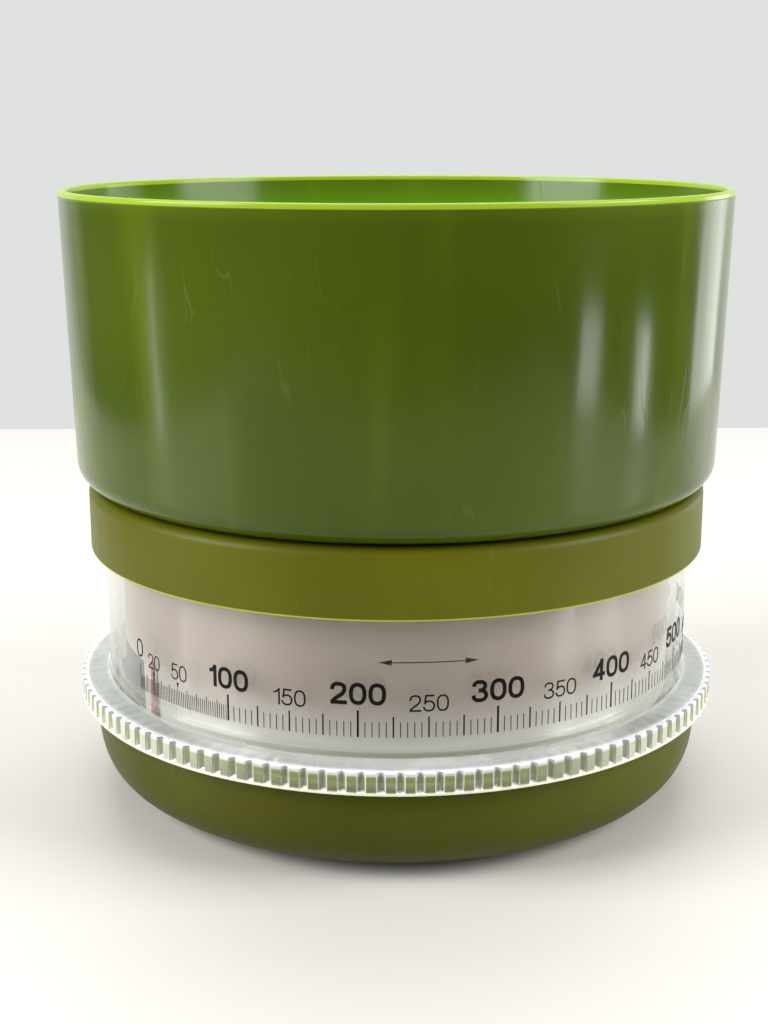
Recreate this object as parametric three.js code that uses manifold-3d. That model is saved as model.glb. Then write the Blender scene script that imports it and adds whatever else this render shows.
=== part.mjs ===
// Round spring kitchen scale: an olive base tub, a clear turning dial ring round a fixed white drum, a red
// pointer between the two, an olive platform and a loose green bowl. The platform stands on a sprung
// column. A nut on the column's carrier turns a steep twisted spindle, and a spur pair steps that up to the
// pointer.
// Millimetres, +Z up, origin at the middle of the footprint on the table. The dial faces -Y.
import * as THREE from 'three';
import { mergeVertices } from 'three/addons/utils/BufferGeometryUtils.js';
import Module from 'manifold-3d';

const wasm = await Module();
wasm.setup();

// ---- driving dimensions -------------------------------------------------------------------------------

const seat = 0.3; // gap between faces that rest on each other
const slip = 0.2; // radial gap between a shaft and its hole
const round = 48; // sides of the large shells
const small = 16; // sides of holes and small turned pieces
const screwSides = 8;
const weld = 0.5; // how far joined shapes of one piece run into each other
const clearOf = 1; // how far a cutting shape runs past the faces it cuts

// dial ring
const dialRadius = 76.9; // outside of the clear cylinder, where the print is
const dialWall = 2;
const flangeReach = 7.45; // grip flange beyond the cylinder
const flangeHeight = 5.5;
const flangeFillet = 1.4;
const spigotDepth = 3.2; // cylinder below the flange, inside the tub's mouth
const flutePitch = 4.4164;
const fluteShare = 0.5; // width of a flute in its pitch
const fluteDepth = 1.3;
const fluteLip = 0.6; // closes the flutes below

// base tub
const footHeight = 1.2; // table to the tub's underside
const baseHeight = 24.7; // table to the tub's rim
const baseOverhang = 3.7; // tub's largest radius beyond the dial
const baseFlat = 56; // radius of the flat underside
const baseRoundness = 3.4; // exponent of the curve from the flat to the wall
const baseWall = 2.4;
const floorWall = 2.2;
const mouthDepth = 5.7; // height of the tub's guiding mouth
const floorPad = 1.6; // thicker floor under the post

// platform
const platformTop = 81; // table to the face the bowl stands on
const skirtGap = 1.6; // ring to the inside of the skirt
const skirtWall = 2;
const topWall = 2;
const topCorner = 2.2;
const skirtLap = 1.8; // skirt below the ring's top edge
const centringHeight = 1.1;
const centringRadius = 59.4;
const ribDepth = 3;
const ribThick = 1.6;
const ribStart = 12; // axis to the ribs' inner ends
const ribEndGap = 11; // ribs' outer ends to the dial ring's outside
const bossRadius = 4;
const travel = 12; // platform, empty to full load
const overTravel = 0.6; // room left at full load

// bowl
const bowlHeight = 73.9;
const bowlWall = 2.2;
const bowlOverhang = 4.5; // rim beyond the platform
const bowlTaper = 1.7; // rim radius less wall radius at the corner
const bowlCornerOut = 7.5;
const bowlCornerUp = 6.4;
const bowlFootDepth = 1.2;

// drum and pointer
const needleRoom = 2.3; // dial ring to drum, where the needle runs
const drumWall = 1.6;
const drumFloorWall = 2;
const drumFloorLift = 1.3; // tub's rim to the drum's floor
const needleThick = 0.7;
const needleHeight = 17.6; // needle above the arm
const needleFoot = 2.6;
const needleTip = 0.5;
const armThick = 1.2;
const zeroAngle = -55; // pointer at no load, degrees from the front, positive towards +X
const sweep = 300; // pointer, empty to full load, degrees

// gear pair
const toothModule = 1;
const hubTeeth = 24;
const spindleTeeth = 40;
const gearThick = 2.8;
const backlash = 0.2;
const spread = 0.1; // added to the centre distance

// post, column and spring
const columnRadius = 3;
const bushWall = 1.8;
const postWall = 1.5;
const postStep = 1; // radius gained at each shoulder
const postFootRadius = 24;
const postFootThick = 3;
const springWire = 1.8;
const springRadius = 13;

// carrier, spindle, bracket and rod
const stripWidth = 6.4;
const stripThick = 1.4;
const stripGap = 0.25;
const journalRadius = 2;
const topJournal = 1.6; // radius
const nutRadius = 5;
const nutThick = 2;
const carrierThick = 2.5;
const carrierRoom = 4.5; // carrier's top to the cap's ribs at full load
const rodRadius = 1.8;
const rodReach = 30; // axis to guide rod
const bracketThick = 2;
const bracketWidth = 14;

// spider and fasteners
const spiderReach = 40; // axis to the cap's screws
const spiderThick = 2;
const spiderHub = 13;
const armWidth = 10;
const screwRadius = 1.5;
const headRadius = 3;
const headHeight = 1.7;
const footRadius = 6;
const footReach = 46;

// ---- sizes that follow ----------------------------------------------------------------------------------

const degree = Math.PI / 180;
const ringInner = dialRadius - dialWall;
const flangeRadius = dialRadius + flangeReach;
const ringBottom = baseHeight + seat;
const flangeTop = ringBottom + flangeHeight;
const baseRadius = dialRadius + baseOverhang;
const capRadius = dialRadius + skirtGap + skirtWall;
const capUnder = platformTop - topWall;
const ringTop = capUnder - travel - overTravel;
const skirtBottom = ringTop - skirtLap;
const bowlBottom = platformTop + seat;
const bowlRim = capRadius + bowlOverhang;
const drumRadius = ringInner - needleRoom;
const drumFloor = baseHeight + drumFloorLift;
const drumFloorTop = drumFloor + drumFloorWall;
const tubFloor = footHeight + floorWall;
const padTop = tubFloor + floorPad;
const centreDistance = (toothModule * (hubTeeth + spindleTeeth)) / 2 + spread;
const screwHole = screwRadius + seat;
const spindleLead = (travel * 360 * spindleTeeth) / (sweep * hubTeeth); // mm of travel for one spindle turn
const parked = zeroAngle - 90; // pointer's azimuth at no load, from +X
const spindleAzimuth = parked - (360 - sweep) / 2; // the middle of the sector the pointer never enters
const spindleSpot = [
  centreDistance * Math.cos(spindleAzimuth * degree),
  centreDistance * Math.sin(spindleAzimuth * degree),
];
const boreRadius = columnRadius + slip + bushWall + slip;
const postRadius = boreRadius + postWall; // above the drum's floor
const postBottom = padTop + seat;
const armTop = drumFloor - drumFloorLift + 0.1;
const armBottom = armTop - armThick;
const gearTop = armBottom - seat;
const gearBottom = gearTop - gearThick;
const carrierTop = capUnder - ribDepth - travel - carrierRoom;
const carrierBottom = carrierTop - carrierThick;
const springTop = carrierBottom - seat;
const postTop = carrierBottom - travel - 1.6;
const columnTop = capUnder - topWall - spiderThick - ribDepth + 0.7;
const columnBottom = tubFloor + travel + overTravel;
const spiderBottom = columnTop + seat;
const spiderTop = spiderBottom + spiderThick;
const spindleTop = carrierTop + carrierRoom - seat;
const bracketTop = spindleTop - 1;
const needleRadius = drumRadius + (needleRoom - needleThick) / 2 - 0.2;

// ---- materials ------------------------------------------------------------------------------------------

const plastic = (color, roughness) => new THREE.MeshStandardMaterial({ color, roughness, metalness: 0 });
const metal = (color, roughness) => new THREE.MeshStandardMaterial({ color, roughness, metalness: 1 });
const green = plastic(0x486419, 0.25);
const olive = plastic(0x5f6519, 0.4);
const white = plastic(0xe6e3d8, 0.5);
const nylon = plastic(0xd9d5c4, 0.6);
const red = plastic(0xb3221a, 0.4);
const rubber = plastic(0x22221f, 0.9);
const clear = plastic(0xdfe6e4, 0.1);
clear.transparent = true;
clear.opacity = 0.35;
const steel = metal(0xa9a9a6, 0.35);
const brass = metal(0xb0904a, 0.35);

// ---- shaping --------------------------------------------------------------------------------------------

// A closed mesh as a solid that can be joined and cut.
function solid(geometry) {
  const bare = new THREE.BufferGeometry();
  bare.setAttribute('position', geometry.getAttribute('position').clone());
  if (geometry.index) bare.setIndex(geometry.index.clone());
  const merged = mergeVertices(bare, 1e-3);
  const corners = merged.index.array;
  const kept = [];
  for (let i = 0; i < corners.length; i += 3) {
    const [a, b, c] = corners.subarray(i, i + 3);
    if (a !== b && b !== c && c !== a) kept.push(a, b, c);
  }
  return new wasm.Manifold(new wasm.Mesh({
    numProp: 3,
    vertProperties: merged.getAttribute('position').array,
    triVerts: new Uint32Array(kept),
  }));
}

// The solid's faces as a geometry again, flat shaded.
function faces(shape) {
  const { vertProperties, triVerts } = shape.getMesh();
  const geometry = new THREE.BufferGeometry();
  geometry.setAttribute('position', new THREE.BufferAttribute(new Float32Array(vertProperties), 3));
  geometry.setIndex(new THREE.BufferAttribute(new Uint32Array(triVerts), 1));
  const flat = geometry.toNonIndexed();
  flat.computeVertexNormals();
  return flat;
}

function join(...parts) {
  return faces(parts.map(solid).reduce((whole, part) => whole.add(part)));
}

function cut(body, ...tools) {
  return faces(tools.map(solid).reduce((whole, tool) => whole.subtract(tool), solid(body)));
}

// A ring or disc turned about Z from a list of [radius, height] corners, closed on itself.
function turned(corners, sides) {
  const area = corners.reduce((sum, [r, z], i) => {
    const [nextR, nextZ] = corners[(i + 1) % corners.length];
    return sum + r * nextZ - nextR * z;
  }, 0);
  const ordered = area > 0 ? [...corners] : [...corners].reverse();
  ordered.push(ordered[0]);
  const profile = ordered.map(([r, z]) => new THREE.Vector2(r, z));
  return new THREE.LatheGeometry(profile, sides).rotateX(Math.PI / 2);
}

const disc = (radius, bottom, top, sides = small) =>
  turned([[0, bottom], [radius, bottom], [radius, top], [0, top]], sides);
const band = (inner, outer, bottom, top, sides = small) =>
  turned([[inner, bottom], [outer, bottom], [outer, top], [inner, top]], sides);

function block(x0, x1, y0, y1, z0, z1) {
  const box = new THREE.BoxGeometry(x1 - x0, y1 - y0, z1 - z0);
  return box.translate((x0 + x1) / 2, (y0 + y1) / 2, (z0 + z1) / 2);
}

const plate = (shape, bottom, top) =>
  new THREE.ExtrudeGeometry(shape, { depth: top - bottom, bevelEnabled: false, curveSegments: small })
    .translate(0, 0, bottom);

const outline = (points) => new THREE.Shape(points.map(([x, y]) => new THREE.Vector2(x, y)));
const polar = (radius, angle) => [radius * Math.cos(angle), radius * Math.sin(angle)];
const moved = (geometry, [x, y]) => geometry.translate(x, y, 0);
const swung = (geometry, degrees) => geometry.rotateZ(degrees * degree);
const spokes = (count, make) => Array.from({ length: count }, (_, i) => make(i, (i * 360) / count));

// Quarter of an ellipse, or of a flatter curve with a higher exponent, from the side to the low point.
function quarter(centreR, centreZ, reachR, reachZ, steps, exponent = 2) {
  return Array.from({ length: steps + 1 }, (_, i) => {
    const angle = (i / steps) * (Math.PI / 2);
    const out = Math.cos(angle) ** (2 / exponent);
    const down = Math.sin(angle) ** (2 / exponent);
    return [centreR + reachR * out, centreZ - reachZ * down];
  });
}

// A screw with its head's seat at the given height: the shank runs up from the head, or down from it.
function screw(seatHeight, shankLength, up) {
  const away = up ? 1 : -1;
  return turned([
    [0, seatHeight - away * headHeight],
    [headRadius * 0.8, seatHeight - away * headHeight],
    [headRadius, seatHeight - away * headHeight * 0.6],
    [headRadius, seatHeight],
    [screwRadius, seatHeight],
    [screwRadius, seatHeight + away * (shankLength - 0.6)],
    [screwRadius * 0.6, seatHeight + away * shankLength],
    [0, seatHeight + away * shankLength],
  ], screwSides);
}

// Spur gear outline with straight-sided flanks through three points of the involute.
function gearShape(teeth, firstTooth) {
  const pitch = (toothModule * teeth) / 2;
  const base = pitch * Math.cos(20 * degree);
  const involute = (pressure) => Math.tan(pressure) - pressure;
  const halfAt = (radius) => {
    const pressure = Math.acos(Math.min(1, base / radius));
    return Math.PI / (2 * teeth) - backlash / (2 * pitch) + involute(20 * degree) - involute(pressure);
  };
  const radii = [pitch - 1.25 * toothModule, pitch, pitch + toothModule];
  const points = [];
  for (let tooth = 0; tooth < teeth; tooth++) {
    const middle = firstTooth + (tooth * 2 * Math.PI) / teeth;
    radii.forEach((radius) => points.push(polar(radius, middle - halfAt(radius))));
    [...radii].reverse().forEach((radius) => points.push(polar(radius, middle + halfAt(radius))));
  }
  return outline(points);
}

function withHole(shape, radius) {
  shape.holes.push(new THREE.Path().absarc(0, 0, radius, 0, 2 * Math.PI, true));
  return shape;
}

// A flat strip twisted about Z: its width lies along X at height zero, and it turns left-handed going up.
function twistedStrip(width, thick, bottom, top, phaseHeight) {
  const turn = -360 / spindleLead;
  const steps = Math.max(2, Math.ceil(Math.abs((top - bottom) * turn) / 6));
  const strip = new THREE.BoxGeometry(width, thick, top - bottom, 3, 1, steps);
  strip.translate(0, 0, (bottom + top) / 2);
  const at = strip.getAttribute('position');
  for (let i = 0; i < at.count; i++) {
    const angle = (at.getZ(i) - phaseHeight) * turn * degree;
    const x = at.getX(i);
    const y = at.getY(i);
    at.setXY(i, x * Math.cos(angle) - y * Math.sin(angle), x * Math.sin(angle) + y * Math.cos(angle));
  }
  return strip;
}

// ---- assembly -------------------------------------------------------------------------------------------

const scale = new THREE.Group();
const base = new THREE.Group();
const platform = new THREE.Group();
const spindle = new THREE.Group();
const pointerGroup = new THREE.Group();
scale.add(base, platform, spindle, pointerGroup);
spindle.rotation.z = spindleAzimuth * degree;
spindle.position.set(...spindleSpot, 0);
pointerGroup.rotation.z = parked * degree;

function add(parent, name, geometry, material) {
  const mesh = new THREE.Mesh(geometry, material);
  mesh.name = name;
  parent.add(mesh);
  return mesh;
}

// ---- bowl -----------------------------------------------------------------------------------------------

function bowlGeometry() {
  const rimTop = bowlBottom + bowlHeight;
  const cornerRadius = bowlRim - bowlTaper - 0.3;
  const footOuter = cornerRadius - bowlCornerOut;
  const footInner = centringRadius + 2 * seat;
  const floorUnder = bowlBottom + bowlFootDepth + seat;
  const floorTop = floorUnder + bowlWall;
  const outside = quarter(footOuter, bowlBottom + bowlCornerUp, bowlCornerOut, bowlCornerUp, 4);
  const innerCorner = cornerRadius - bowlWall;
  const fillet = bowlCornerUp;
  const inside = quarter(innerCorner - fillet, floorTop + fillet, fillet, fillet, 4).reverse();
  return turned([
    [0, floorTop],
    ...inside,
    [bowlRim - bowlWall, rimTop],
    [bowlRim - 0.4, rimTop],
    [bowlRim, rimTop - 0.4],
    [bowlRim, rimTop - 1.6],
    [bowlRim - 0.3, rimTop - 2],
    ...outside,
    [footInner, bowlBottom],
    [footInner, floorUnder],
    [0, floorUnder],
  ], round);
}
add(platform, 'bowl', bowlGeometry(), green);

// ---- platform -------------------------------------------------------------------------------------------

const bossAngles = spokes(3, (i, angle) => spindleAzimuth + 30 + angle);
const bossSpots = bossAngles.map((angle) => polar(spiderReach, angle * degree));

function capGeometry() {
  const inner = capRadius - skirtWall;
  const corner = [0, 45, 90].map((angle) => [
    capRadius - topCorner + topCorner * Math.sin(angle * degree),
    platformTop - topCorner + topCorner * Math.cos(angle * degree),
  ]);
  const shell = turned([
    [0, platformTop + centringHeight],
    [centringRadius, platformTop + centringHeight],
    [centringRadius, platformTop],
    ...corner,
    [capRadius, skirtBottom],
    [inner, skirtBottom],
    [inner, capUnder],
    [0, capUnder],
  ], round);
  const ribs = spokes(6, (i, angle) => {
    const end = dialRadius - ribEndGap;
    const rib = block(ribStart, end, -ribThick / 2, ribThick / 2, capUnder - ribDepth, capUnder + weld);
    return swung(rib, spindleAzimuth + angle);
  });
  const bosses = bossSpots.map((spot) => moved(disc(bossRadius, spiderTop + seat, capUnder + weld), spot));
  const pilots = bossSpots.map((spot) => moved(disc(screwHole, spiderTop, capUnder, screwSides), spot));
  return cut(join(shell, ...ribs, ...bosses), ...pilots);
}
add(platform, 'platform_cap', capGeometry(), olive);

function spiderGeometry() {
  const reach = spiderReach + armWidth / 2;
  const arms = bossAngles.map((angle) =>
    swung(block(0, reach, -armWidth / 2, armWidth / 2, spiderBottom, spiderTop), angle));
  const hole = () => disc(screwHole, spiderBottom - clearOf, spiderTop + clearOf, screwSides);
  return cut(join(disc(spiderHub, spiderBottom, spiderTop), ...arms), hole(),
    ...bossSpots.map((spot) => moved(hole(), spot)));
}
add(platform, 'platform_spider', spiderGeometry(), steel);

bossSpots.forEach((spot, i) => {
  const fastener = screw(spiderBottom - seat, capUnder - spiderBottom - seat, true);
  add(platform, `cap_screw_${i + 1}`, moved(fastener, spot), steel);
});

const columnScrewLength = 9;
add(platform, 'column_screw', screw(spiderTop + seat, columnScrewLength, false), steel);

const grooveBottom = columnBottom + 1;
const grooveHeight = 2;
const grooveDepth = 0.7;
const pinHeight = carrierTop + 2.2;
const pinRadius = 1;

// A short rod lying along X through the axis.
function crossPin(radius, length) {
  const pin = new THREE.CylinderGeometry(radius, radius, length, small);
  return pin.rotateZ(Math.PI / 2).translate(0, 0, pinHeight);
}

function columnGeometry() {
  const grooveTop = grooveBottom + grooveHeight;
  const rod = turned([
    [0, columnBottom],
    [columnRadius - 0.4, columnBottom],
    [columnRadius, columnBottom + 0.4],
    [columnRadius, grooveBottom],
    [columnRadius - grooveDepth, grooveBottom],
    [columnRadius - grooveDepth, grooveTop],
    [columnRadius, grooveTop],
    [columnRadius, columnTop],
    [screwHole, columnTop],
    [screwHole, columnTop - columnScrewLength],
    [0, columnTop - columnScrewLength],
  ], small);
  return cut(rod, swung(crossPin(pinRadius + slip, 4 * columnRadius), spindleAzimuth));
}
add(platform, 'load_column', columnGeometry(), steel);

const clipBottom = grooveBottom + seat;
const clipTop = grooveBottom + grooveHeight - seat;
const clipInner = columnRadius - grooveDepth + slip;
const clipOuter = boreRadius - 3 * slip;
add(platform, 'stop_clip', band(clipInner, clipOuter, clipBottom, clipTop), steel);

const padRadius = nutRadius + 1.5;
const padThick = 1.5;
const slotHalf = 3.5;
const hubRadius = 7;
const hubHeight = 4.2;

function carrierGeometry() {
  const below = carrierBottom - padThick - clearOf;
  const above = carrierTop + hubHeight + clearOf;
  const hub = turned([
    [0, carrierBottom],
    [springRadius + springWire, carrierBottom],
    [springRadius + springWire, carrierBottom + 1.6],
    [hubRadius, carrierTop],
    [hubRadius, carrierTop + hubHeight],
    [0, carrierTop + hubHeight],
  ], small * 2);
  const bar = (reach) => block(0, reach, -armWidth / 2, armWidth / 2, carrierBottom, carrierTop);
  const nutArm = swung(bar(centreDistance), spindleAzimuth);
  const rodArm = swung(bar(rodReach + slotHalf + 2.5), spindleAzimuth + 180);
  const pad = moved(disc(padRadius, carrierBottom - padThick, carrierTop), spindleSpot);
  const nutRoof = carrierBottom - padThick + nutThick + seat;
  const nutSeat = moved(disc(nutRadius + seat, below, nutRoof), spindleSpot);
  const stripHole = moved(disc(stripWidth / 2 + 1.1, below, above), spindleSpot);
  const slotWidth = rodRadius + slip;
  const slot = block(rodReach - slotHalf, rodReach + slotHalf, -slotWidth, slotWidth, below, above);
  const pin = swung(crossPin(pinRadius + slip, 4 * hubRadius), spindleAzimuth);
  return cut(join(hub, nutArm, pad, rodArm), disc(columnRadius + slip, below, above), nutSeat, stripHole,
    swung(slot, spindleAzimuth + 180), pin);
}
add(platform, 'carrier', carrierGeometry(), nylon);
add(platform, 'carrier_pin', swung(crossPin(pinRadius, 2 * hubRadius - 2 * seat), spindleAzimuth), steel);

const nutBottom = carrierBottom - padThick;
const nutTop = nutBottom + nutThick;

function driveNutGeometry() {
  const width = stripWidth + 2 * stripGap;
  const thick = stripThick + 2 * stripGap;
  const slot = twistedStrip(width, thick, nutBottom - clearOf, nutTop + clearOf, nutTop);
  return cut(disc(nutRadius, nutBottom, nutTop), slot);
}
const driveNut = add(platform, 'drive_nut', driveNutGeometry(), brass);
driveNut.position.copy(spindle.position);
driveNut.rotation.z = spindle.rotation.z;

// ---- spindle --------------------------------------------------------------------------------------------

const spindleBottom = gearBottom - 1;
const stripBottom = nutBottom - travel - 1.5;
const bearingRadius = 4;
const bearingLip = 0.6;
const bearingFlange = 1.2;

function spindleGeometry() {
  const stripTop = bracketTop - bracketThick - seat;
  return join(
    disc(journalRadius, spindleBottom, stripBottom + weld),
    twistedStrip(stripWidth, stripThick, stripBottom, stripTop, nutTop),
    disc(topJournal, stripTop - weld, spindleTop),
  );
}
add(spindle, 'twisted_spindle', spindleGeometry(), steel);

const spindleGear = plate(withHole(gearShape(spindleTeeth, Math.PI + Math.PI / spindleTeeth),
  journalRadius + slip), gearBottom, gearTop);
add(spindle, 'spindle_gear', spindleGear, nylon);

const collarHeight = 3;
const collarBottom = drumFloorTop + 2 * seat + bearingLip;
const collar = band(journalRadius + slip, bearingRadius, collarBottom, collarBottom + collarHeight);
add(spindle, 'spindle_collar', collar, brass);

// ---- pointer --------------------------------------------------------------------------------------------

const gearSeatRadius = postRadius + postStep;
const hubBore = gearSeatRadius + slip;
const hubSleeve = hubBore + 1.5;

function hubGearGeometry() {
  const towardsSpindle = (spindleAzimuth - parked) * degree;
  const wheel = plate(withHole(gearShape(hubTeeth, towardsSpindle), hubBore), gearBottom, gearTop);
  return join(wheel, band(hubBore, hubSleeve, gearTop - 0.4, armTop + 0.3));
}
add(pointerGroup, 'hub_gear', hubGearGeometry(), nylon);

function pointerGeometry() {
  const ringRadius = hubSleeve + 3.4;
  const needleEnd = needleRadius + needleThick;
  const armHalf = 3;
  const counterweight = centreDistance - journalRadius - 3.5;
  const arm = outline([
    [0, -armHalf - 1.5],
    [needleEnd, -needleFoot / 2],
    [needleEnd, needleFoot / 2],
    [0, armHalf + 1.5],
    [-counterweight * 0.7, 6],
    [-counterweight, 4],
    [-counterweight, -4],
    [-counterweight * 0.7, -6],
  ]);
  const needle = outline([
    [-needleFoot / 2, 0],
    [needleFoot / 2, 0],
    [needleTip / 2, needleHeight],
    [-needleTip / 2, needleHeight],
  ]);
  const upright = new THREE.ExtrudeGeometry(needle, { depth: needleThick, bevelEnabled: false })
    .rotateX(Math.PI / 2).rotateZ(Math.PI / 2).translate(needleRadius, 0, armTop - 0.3);
  const flat = join(plate(arm, armBottom, armTop), disc(ringRadius, armBottom, armTop));
  return cut(join(flat, upright), disc(hubSleeve + slip, armBottom - 1, armTop + 1));
}
add(pointerGroup, 'pointer', pointerGeometry(), red);

// ---- dial ring ------------------------------------------------------------------------------------------

function ringGeometry() {
  const fluteRoot = flangeRadius - fluteDepth;
  const crownTop = flangeTop;
  const core = turned([
    [ringInner, ringBottom - spigotDepth],
    [dialRadius, ringBottom - spigotDepth],
    [dialRadius, ringBottom],
    [flangeRadius, ringBottom],
    [flangeRadius, ringBottom + fluteLip],
    [fluteRoot - 0.5, ringBottom + fluteLip],
    [fluteRoot - 0.5, flangeTop + 0.3],
    [dialRadius + flangeFillet, flangeTop + 0.3],
    [dialRadius, flangeTop + 0.3 + flangeFillet],
    [dialRadius, ringTop],
    [ringInner, ringTop],
  ], round);
  const count = Math.round((2 * Math.PI * flangeRadius) / flutePitch);
  const pitch = (2 * Math.PI) / count;
  const points = [];
  for (let flute = 0; flute < count; flute++) {
    const start = flute * pitch;
    points.push(polar(flangeRadius, start));
    points.push(polar(flangeRadius, start + pitch * (1 - fluteShare)));
    points.push(polar(fluteRoot, start + pitch * (1 - fluteShare * 0.7)));
    points.push(polar(fluteRoot, start + pitch * (1 - fluteShare * 0.3)));
  }
  const crown = plate(outline(points), ringBottom + fluteLip / 2, crownTop);
  const hollow = disc(fluteRoot - 1.2, ringBottom, crownTop + 1, round);
  return join(core, cut(crown, hollow));
}
add(scale, 'scale_ring', ringGeometry(), clear);

// ---- base -----------------------------------------------------------------------------------------------

const postScrews = spokes(3, (i, angle) => polar(postFootRadius - 6, angle * degree));
const feet = spokes(4, (i, angle) => polar(footReach, (angle + 45) * degree));
const footRecess = 0.8;
const headRecess = headHeight + 2 * seat;

function tubGeometry() {
  const reach = baseRadius - baseFlat;
  const outside = quarter(baseFlat, baseHeight, reach, baseHeight - footHeight, 7, baseRoundness);
  const inside = quarter(baseFlat, baseHeight, reach - baseWall, baseHeight - tubFloor, 5, baseRoundness)
    .filter(([, z]) => z < baseHeight - mouthDepth);
  const mouth = dialRadius + seat;
  const shell = turned([
    [0, footHeight],
    ...outside.reverse(),
    [mouth, baseHeight],
    [mouth, baseHeight - mouthDepth],
    ...inside,
    [0, tubFloor],
  ], round);
  const pad = band(12, postFootRadius + 4, tubFloor - 0.5, padTop, small * 2);
  const tools = [
    ...feet.map((spot) => moved(disc(footRadius + seat, 0, footHeight + footRecess), spot)),
    ...postScrews.map((spot) => moved(disc(headRadius + seat, 0, footHeight + headRecess), spot)),
    ...postScrews.map((spot) => moved(disc(screwHole, 0, padTop + 1, screwSides), spot)),
  ];
  return cut(join(shell, pad), ...tools);
}
add(base, 'base_housing', tubGeometry(), olive);

feet.forEach((spot, i) => {
  const pad = turned([
    [0, 0],
    [footRadius - 0.5, 0],
    [footRadius, 0.5],
    [footRadius, footHeight + footRecess - seat],
    [0, footHeight + footRecess - seat],
  ], small);
  add(base, `foot_${i + 1}`, moved(pad, spot), rubber);
});

const lowShoulder = gearBottom - seat;
const highShoulder = drumFloor - seat;

function postGeometry() {
  const waist = gearSeatRadius + postStep + 0.5;
  const shell = turned([
    [boreRadius, postBottom],
    [postFootRadius, postBottom],
    [postFootRadius, postBottom + postFootThick],
    [waist, postBottom + postFootThick],
    [waist, lowShoulder],
    [gearSeatRadius, lowShoulder],
    [gearSeatRadius, highShoulder],
    [postRadius, highShoulder],
    [postRadius, postTop],
    [boreRadius, postTop],
  ], small * 2);
  const footTop = postBottom + postFootThick;
  return cut(shell, ...postScrews.map((spot) => moved(disc(screwHole, 0, footTop + clearOf, screwSides), spot)));
}
add(base, 'guide_post', postGeometry(), steel);

postScrews.forEach((spot, i) => {
  const shank = postBottom + postFootThick - footHeight - headRecess + seat;
  add(base, `post_screw_${i + 1}`, moved(screw(footHeight + headRecess - seat, shank, true), spot), steel);
});

const bushInner = columnRadius + slip;
const bushOuter = boreRadius - slip;
const bushHeight = 5;
const lowerBush = clipTop + seat;
add(base, 'lower_guide_bush', band(bushInner, bushOuter, lowerBush, lowerBush + bushHeight), nylon);
add(base, 'upper_guide_bush', band(bushInner, bushOuter, postTop - bushHeight - 0.5, postTop - 0.5), nylon);
add(base, 'buffer_ring', band(bushInner + 0.4, postRadius, postTop + seat, postTop + 1.3), rubber);

// The white drum is the chassis as well: its floor carries the bracket, the rod, the spring and a bearing.
const bracketFoot = [centreDistance + padRadius + 1, centreDistance + padRadius + 1 + 17];
const bracketScrews = [-4.5, 4.5].map((y) => [bracketFoot[1] - 6, y]);
const rodBossWall = 2.2;
const rodBossTop = drumFloorTop + 6;

function drumGeometry() {
  const shell = turned([
    [0, drumFloor],
    [drumRadius - 1, drumFloor],
    [drumRadius, drumFloor + 1],
    [drumRadius, ringTop],
    [drumRadius - drumWall, ringTop],
    [drumRadius - drumWall, drumFloorTop],
    [0, drumFloorTop],
  ], round);
  const rodSpot = polar(rodReach, (spindleAzimuth + 180) * degree);
  const boss = moved(disc(rodRadius + rodBossWall, drumFloor + weld, rodBossTop), rodSpot);
  const socket = moved(disc(rodRadius + slip, drumFloor + 1, rodBossTop + clearOf), rodSpot);
  const hole = (radius, sides) => disc(radius, drumFloor - clearOf, drumFloorTop + clearOf, sides);
  const screwHoles = bracketScrews.map((spot) => swung(moved(hole(screwHole, screwSides), spot), spindleAzimuth));
  return cut(join(shell, boss), hole(postRadius + slip, small * 2), moved(hole(bearingRadius + slip), spindleSpot),
    socket, ...screwHoles);
}
add(base, 'indicator_drum', drumGeometry(), white);

const rodBottom = drumFloor + 1 + seat;
const rodTop = carrierTop + carrierRoom - 1.5;
const rod = turned([
  [0, rodBottom],
  [rodRadius, rodBottom],
  [rodRadius, rodTop - 0.6],
  [rodRadius - 0.6, rodTop],
  [0, rodTop],
], small);
add(base, 'guide_rod', swung(moved(rod, [rodReach, 0]), spindleAzimuth + 180), steel);

const drumNutHeight = 3;
const drumNutBottom = drumFloorTop + seat;
const drumNutReach = springRadius - springWire / 2 - clearOf;
const hexagon = outline(spokes(6, (i, angle) => polar(drumNutReach, angle * degree)));
const drumNut = plate(withHole(hexagon, postRadius + slip), drumNutBottom, drumNutBottom + drumNutHeight);
add(base, 'drum_nut', drumNut, brass);

const springSeatTop = drumNutBottom + 1.4;
const coilInner = springRadius - springWire / 2;
const coilOuter = springRadius + springWire / 2;
add(base, 'spring_seat', turned([
  [coilInner - 0.4, drumNutBottom],
  [coilOuter + 1.6, drumNutBottom],
  [coilOuter + 1.6, springSeatTop + 1],
  [coilOuter + 0.6, springSeatTop + 1],
  [coilOuter + 0.6, springSeatTop],
  [coilInner - 0.4, springSeatTop],
], small * 2), steel);

// Compression spring: as many turns as fit at full load, with its ends laid flat.
class Coil extends THREE.Curve {
  constructor(bottom, top, turns) {
    super();
    Object.assign(this, { bottom, top, turns });
  }

  getPoint(t, target = new THREE.Vector3()) {
    const angle = 2 * Math.PI * this.turns * t;
    const flat = 0.75 / this.turns;
    const climb = THREE.MathUtils.clamp((t - flat) / (1 - 2 * flat), 0, 1);
    const [x, y] = polar(springRadius, angle);
    return target.set(x, y, THREE.MathUtils.lerp(this.bottom, this.top, climb));
  }
}

function springGeometry() {
  const bottom = springSeatTop + seat + springWire / 2;
  const top = springTop - springWire / 2;
  const turns = Math.max(3, Math.floor((top - bottom - travel) / (springWire * 1.12)) + 0.5);
  const wire = outline(spokes(6, (i, angle) => polar(springWire / 2, angle * degree)));
  const steps = Math.round(turns * 14);
  return new THREE.ExtrudeGeometry(wire, { steps, extrudePath: new Coil(bottom, top, turns) });
}
add(base, 'load_spring', springGeometry(), steel);

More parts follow.
